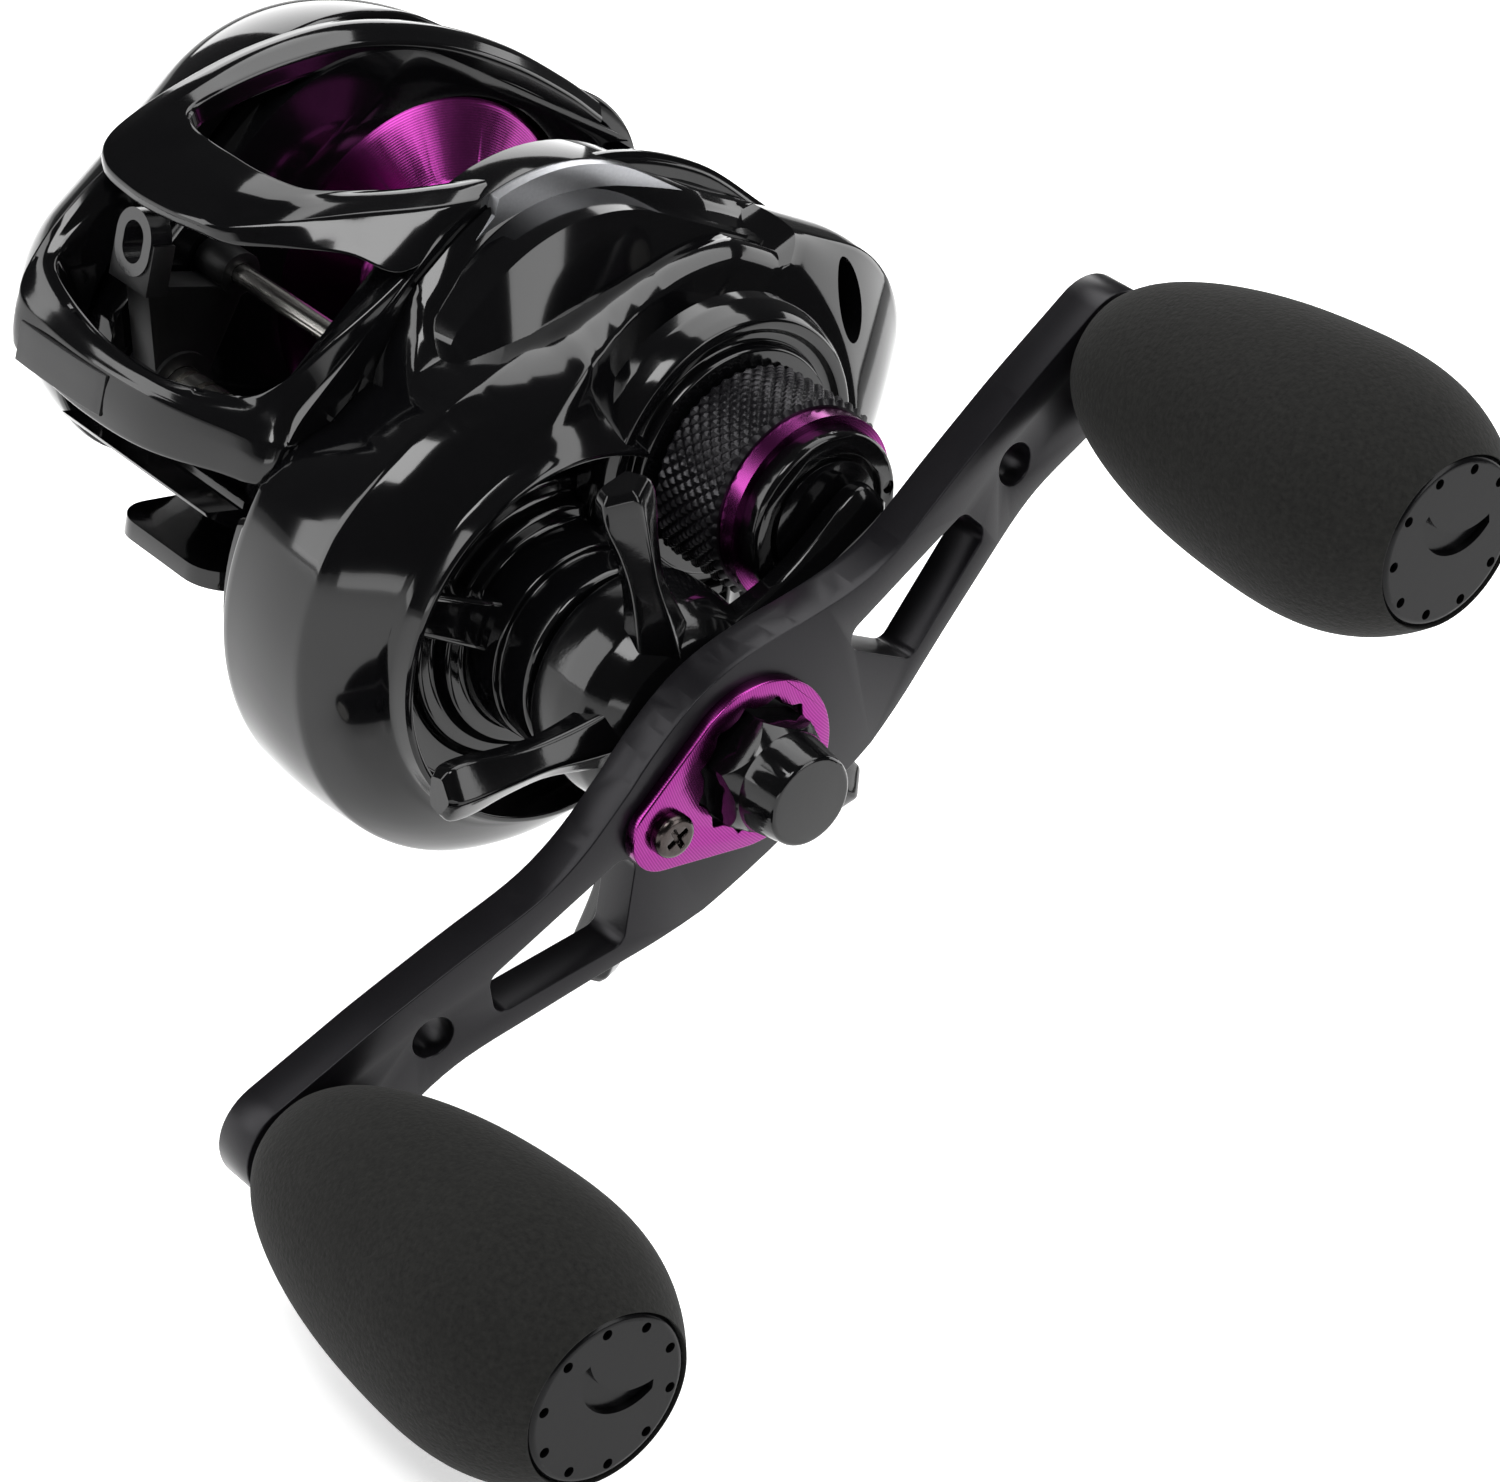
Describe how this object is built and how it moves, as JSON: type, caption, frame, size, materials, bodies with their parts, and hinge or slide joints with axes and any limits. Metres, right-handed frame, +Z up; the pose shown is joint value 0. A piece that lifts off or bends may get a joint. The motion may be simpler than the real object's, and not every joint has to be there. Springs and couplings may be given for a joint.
{
  "type": "baitcasting reel",
  "caption": "Low-profile baitcasting fishing reel with an anodised spool, level wind, star drag, cast control knob and a swept double handle with foam knobs.",
  "frame": {"origin": "underside of the reel foot, straight below the spool axis, at the middle of the spool's width", "axes": "+X along the spool axis towards the handle, -Y to the front where the line leaves, +Z up"},
  "size_m": [0.1225, 0.0944, 0.0874],
  "materials": {
    "gloss_black_body": "gloss",
    "blank_badge": "gloss",
    "black_anodised": "satin",
    "purple_anodised": "gloss",
    "eva_foam": "matte",
    "gloss_black_cap": "gloss",
    "dark_nickel": "gloss",
    "steel": "satin",
    "gear_brass": "satin",
    "black_nylon": "matte",
    "inner_aluminium": "satin",
    "drag_fibre": "matte",
    "ceramic_eye": "gloss"
  },
  "bodies": {
    "root": {"frame": "gloss_black_body", "nose_badge": "blank_badge", "hood": "gloss_black_body", "gear_side_cover": "gloss_black_body", "palm_side_cover": "gloss_black_body", "cover_screws": "dark_nickel", "set_plate": "inner_aluminium", "yoke_posts": "steel", "palm_bearing": "steel", "pinion_bearing": "steel", "spool_end_bearing": "steel", "drive_bearing": "steel", "one_way_bearing": "steel", "worm_bushes": "black_nylon", "guide_rod": "steel"},
    "spool_assembly": {"spool": "purple_anodised", "spool_shaft": "steel", "brake_rotor": "inner_aluminium"},
    "brake_carrier": {"magnet_carrier": "black_nylon", "brake_magnets": "steel"},
    "dial": {"brake_dial": "gloss_black_body"},
    "yoke": {"clutch_yoke": "black_nylon"},
    "pinion": {"pinion_gear": "gear_brass"},
    "cam": {"clutch_cam": "black_nylon"},
    "thumb_lever": {"thumb_bar": "gloss_black_body"},
    "crank": {"drive_shaft": "steel", "winder_drive_gear": "black_nylon", "ratchet": "steel", "drive_gear": "gear_brass", "drag_washers": "drag_fibre", "pressure_plate": "steel", "drive_sleeve": "steel", "spring_washers": "steel", "handle_spacer": "steel", "handle_arm": "black_anodised", "handle_nut": "black_anodised", "nut_retainer": "purple_anodised", "retainer_screw": "dark_nickel", "knob_post_a": "steel", "knob_post_b": "steel"},
    "star": {"star_drag": "black_anodised"},
    "knob_a": {"grip_a": "eva_foam", "grip_cap_a": "gloss_black_cap", "knob_bushes_a": "black_nylon"},
    "knob_b": {"grip_b": "eva_foam", "grip_cap_b": "gloss_black_cap", "knob_bushes_b": "black_nylon"},
    "cast_control": {"tension_knob": "black_anodised", "tension_ring": "purple_anodised", "tension_cap": "black_anodised", "tension_pad": "gear_brass"},
    "winder": {"worm_shaft": "steel", "worm_gear": "black_nylon"},
    "guide_carriage": {"line_guide": "black_nylon", "guide_insert": "ceramic_eye", "guide_pawl": "inner_aluminium"}
  },
  "joints": [
    {"name": "handle_spin", "type": "hinge", "parent": "root", "child": "crank", "pos_m": [0, -0.01401, 0.00563], "axis": [1, 0, 0], "continuous": true},
    {"name": "spool_spin", "type": "hinge", "parent": "root", "child": "spool_assembly", "pos_m": [0, 0, 0.0206], "axis": [1, 0, 0], "continuous": true},
    {"name": "thumb_press", "type": "slide", "parent": "root", "child": "thumb_lever", "axis": [0, 0, -1], "range_m": [0, 0.0045]},
    {"name": "yoke_shift", "type": "slide", "parent": "root", "child": "yoke", "axis": [1, 0, 0], "range_m": [0, 0.0012]},
    {"name": "pinion_spin", "type": "hinge", "parent": "yoke", "child": "pinion", "pos_m": [0, 0, 0.0206], "axis": [1, 0, 0], "continuous": true},
    {"name": "cam_turn", "type": "hinge", "parent": "root", "child": "cam", "pos_m": [0, 0, 0.0206], "axis": [1, 0, 0], "range_deg": [-13, 0]},
    {"name": "star_turn", "type": "hinge", "parent": "crank", "child": "star", "pos_m": [0, -0.01401, 0.00563], "axis": [1, 0, 0], "range_deg": [-180, 180]},
    {"name": "knob_a_spin", "type": "hinge", "parent": "crank", "child": "knob_a", "pos_m": [0, 0.02129, 0.03741], "axis": [1, 0, 0], "continuous": true},
    {"name": "knob_b_spin", "type": "hinge", "parent": "crank", "child": "knob_b", "pos_m": [0, -0.04931, -0.02615], "axis": [1, 0, 0], "continuous": true},
    {"name": "cast_control_turn", "type": "hinge", "parent": "root", "child": "cast_control", "pos_m": [0, 0, 0.0206], "axis": [1, 0, 0], "range_deg": [-180, 180]},
    {"name": "brake_dial_turn", "type": "hinge", "parent": "root", "child": "dial", "pos_m": [0, 0, 0.0206], "axis": [1, 0, 0], "range_deg": [0, 270]},
    {"name": "magnet_shift", "type": "slide", "parent": "root", "child": "brake_carrier", "axis": [1, 0, 0], "range_m": [0, 0.002]},
    {"name": "worm_spin", "type": "hinge", "parent": "root", "child": "winder", "pos_m": [0, -0.02871, 0.01312], "axis": [1, 0, 0], "continuous": true},
    {"name": "guide_traverse", "type": "slide", "parent": "root", "child": "guide_carriage", "axis": [1, 0, 0], "range_m": [0, 0.0166]}
  ],
  "couplings": [
    {"joint": "spool_spin", "follows": "handle_spin", "ratio": -7.2},
    {"joint": "pinion_spin", "follows": "handle_spin", "ratio": -7.2},
    {"joint": "worm_spin", "follows": "handle_spin", "ratio": -3.7143},
    {"joint": "yoke_shift", "follows": "thumb_press", "ratio": 0.2666},
    {"joint": "cam_turn", "follows": "thumb_press", "rad_per_m": -48.9},
    {"joint": "brake_dial_turn", "follows": "magnet_shift", "rad_per_m": 2356.2}
  ]
}
